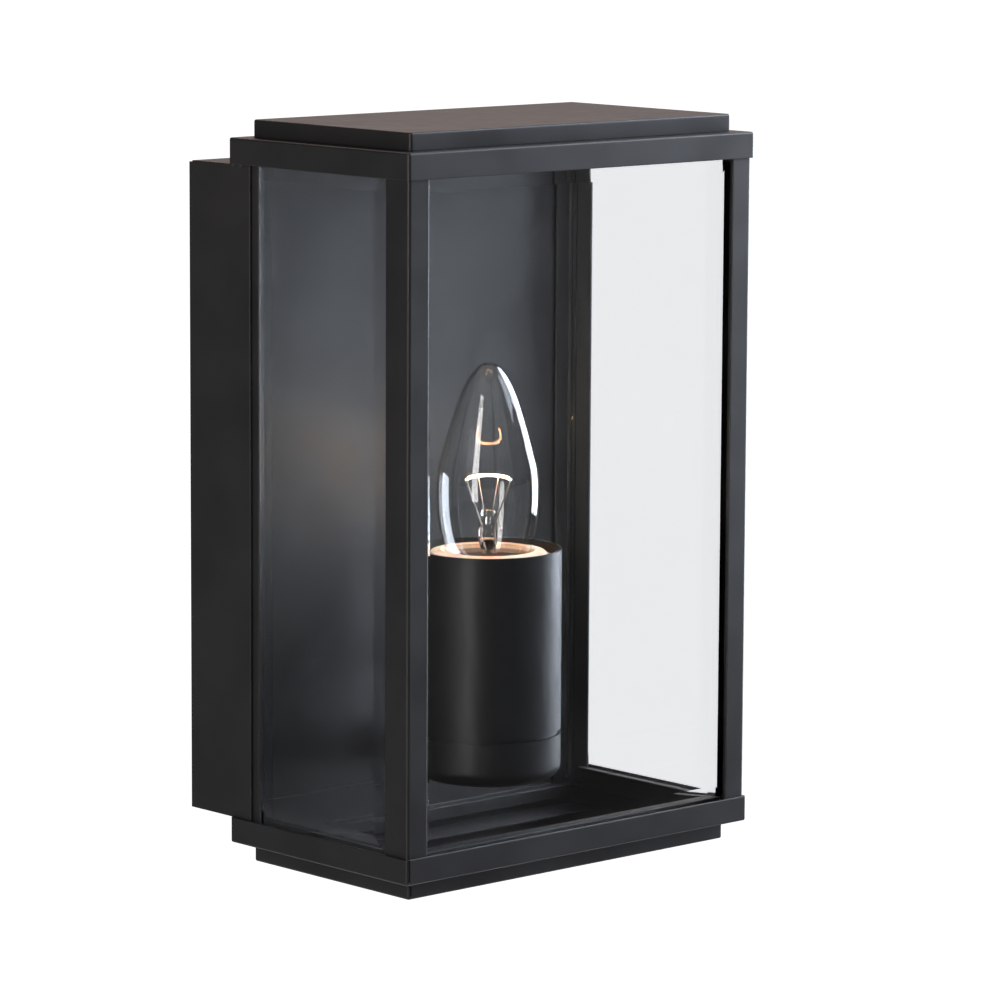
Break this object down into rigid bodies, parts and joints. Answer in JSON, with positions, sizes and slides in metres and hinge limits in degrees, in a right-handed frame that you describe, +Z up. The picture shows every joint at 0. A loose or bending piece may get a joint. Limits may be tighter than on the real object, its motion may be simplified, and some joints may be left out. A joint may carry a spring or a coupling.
{
  "type": "outdoor wall lantern",
  "caption": "Black box wall lantern with stepped roof and base, bevelled glass panes and a candle lamp standing in a round cup; the glazed body slips forward off its wall unit.",
  "frame": {"origin": "middle of the wall face, where the wall plate's gasket meets the wall", "axes": "+Y into the wall, -Y to the front, +Z up, X across"},
  "size_m": [0.156, 0.112, 0.25],
  "materials": {
    "black_powder_coat": "satin black powder coat on folded steel sheet",
    "cup_black": "matt black stoved paint on spun steel",
    "zinc_plated_steel": "bright zinc plate",
    "black_screw": "black passivated steel screw",
    "pane_glass": "clear float glass, bevelled and polished",
    "lamp_glass": "clear thin soda glass",
    "black_silicone": "black silicone bead",
    "foam_rubber": "closed-cell EPDM foam",
    "black_rubber": "moulded EPDM",
    "nylon_natural": "natural polyamide",
    "brass": "plain brass",
    "phosphor_bronze": "phosphor bronze spring",
    "lead_green_yellow": "PVC insulation, green and yellow",
    "lead_brown": "PVC insulation, brown",
    "lead_blue": "PVC insulation, blue",
    "holder_phenolic": "black phenolic moulding",
    "silicone_cream": "cream silicone",
    "cap_brass_nickel": "nickelled brass cap",
    "black_glass": "black vitrite glass",
    "solder": "tin solder",
    "lamp_wire": "nickel and molybdenum wire",
    "filament_glow": "tungsten coil, glowing"
  },
  "bodies": {
    "wall_unit": {"wall_gasket": "foam_rubber", "wall_plate": "zinc_plated_steel", "plate_ears": "zinc_plated_steel", "back_panel": "black_powder_coat", "panel_screws": "zinc_plated_steel", "cable_grommet": "black_rubber", "terminal_block": "nylon_natural", "terminal_tubes": "brass", "terminal_screws": "zinc_plated_steel", "earth_screw": "zinc_plated_steel", "earth_tag": "zinc_plated_steel", "earth_lead": "lead_green_yellow", "live_lead": "lead_brown", "neutral_lead": "lead_blue", "lamp_arm": "zinc_plated_steel", "arm_spacer": "cup_black", "arm_nuts": "zinc_plated_steel", "cup_base": "cup_black", "cup_shroud": "cup_black", "lampholder_body": "holder_phenolic", "thread_shell": "brass", "centre_contact": "phosphor_bronze", "holder_screws": "zinc_plated_steel"},
    "lantern_body": {"back_box": "black_powder_coat", "roof_top": "black_powder_coat", "roof_skirt": "black_powder_coat", "roof_bead": "black_powder_coat", "base_rim": "black_powder_coat", "base_pan": "black_powder_coat", "base_bead": "black_powder_coat", "rear_rail": "black_powder_coat", "post_front_left": "black_powder_coat", "post_front_right": "black_powder_coat", "post_rear_left": "black_powder_coat", "post_rear_right": "black_powder_coat", "glass_front": "pane_glass", "glass_left": "pane_glass", "glass_right": "pane_glass", "seal_front": "black_silicone", "seal_left": "black_silicone", "seal_right": "black_silicone", "body_screws": "black_screw"},
    "ring_carrier": {"seal_ring": "silicone_cream"},
    "lamp": {"bulb_glass": "lamp_glass", "bulb_cap": "cap_brass_nickel", "bulb_insulator": "black_glass", "bulb_contact": "solder", "bulb_stem": "lamp_glass", "bulb_leads": "lamp_wire", "bulb_filament": "filament_glow"}
  },
  "joints": [
    {"name": "lantern_release", "type": "slide", "parent": "wall_unit", "child": "lantern_body", "axis": [0, -1, 0], "range_m": [0, 0.1]},
    {"name": "lamp_rise", "type": "slide", "parent": "wall_unit", "child": "ring_carrier", "axis": [0, 0, 1], "range_m": [0, 0.0142]},
    {"name": "lamp_turn", "type": "hinge", "parent": "ring_carrier", "child": "lamp", "pos_m": [0, -0.0629, 0], "axis": [0, 0, 1], "range_deg": [0, 1800]}
  ],
  "couplings": [
    {"joint": "lamp_rise", "follows": "lamp_turn", "m_per_rad": 0.00044913}
  ]
}
